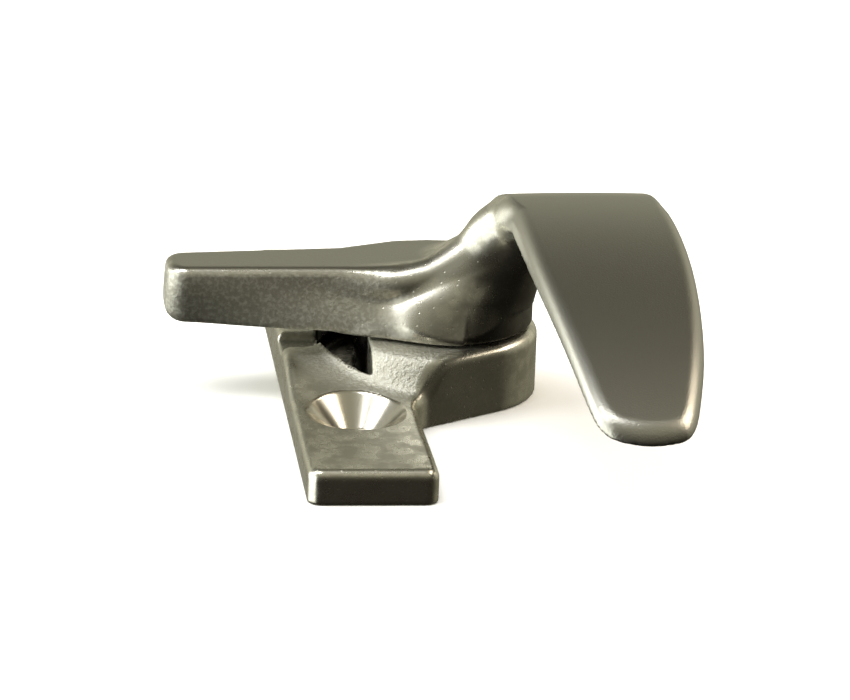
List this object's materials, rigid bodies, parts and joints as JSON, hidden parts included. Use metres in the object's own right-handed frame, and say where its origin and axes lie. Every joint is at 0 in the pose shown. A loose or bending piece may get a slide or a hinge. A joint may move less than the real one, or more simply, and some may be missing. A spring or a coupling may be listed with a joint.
{
  "type": "cockspur window handle",
  "caption": "Cast steel cockspur window handle: a screw-on backplate and a turning lever whose spur hooks over the frame while its leaf-shaped grip lies along the sash.",
  "frame": {"origin": "on the backplate's mounting face, midway between the two screw holes", "axes": "+Z out of the sash, +Y along the screw strip, away from the grip, -X the way the spur points when closed, -Y the way the grip points when closed"},
  "size_m": [0.065, 0.1021, 0.0286],
  "materials": {
    "cast_steel": "investment-cast stainless steel, tumbled and polished, rough as cast in the hollows",
    "satin_steel": "investment-cast stainless steel, linished satin on the grip and the spur's top",
    "turned_steel": "turned stainless steel, fine lathe marks",
    "spring_steel": "hardened spring steel, lightly oiled",
    "acetal": "natural acetal, machined"
  },
  "bodies": {
    "base": {"backplate": "cast_steel", "pivot_bush": "acetal", "disc_spring_upper": "spring_steel", "disc_spring_lower": "spring_steel"},
    "lever": {"lever_casting": "satin_steel", "pivot_spindle": "turned_steel", "stop_pin": "turned_steel", "retaining_washer": "turned_steel", "retaining_clip": "spring_steel"}
  },
  "joints": [
    {"name": "handle_turn", "type": "hinge", "parent": "base", "child": "lever", "pos_m": [0.0135, 0, 0.009], "axis": [0, 0, 1], "range_deg": [0, 90]}
  ]
}
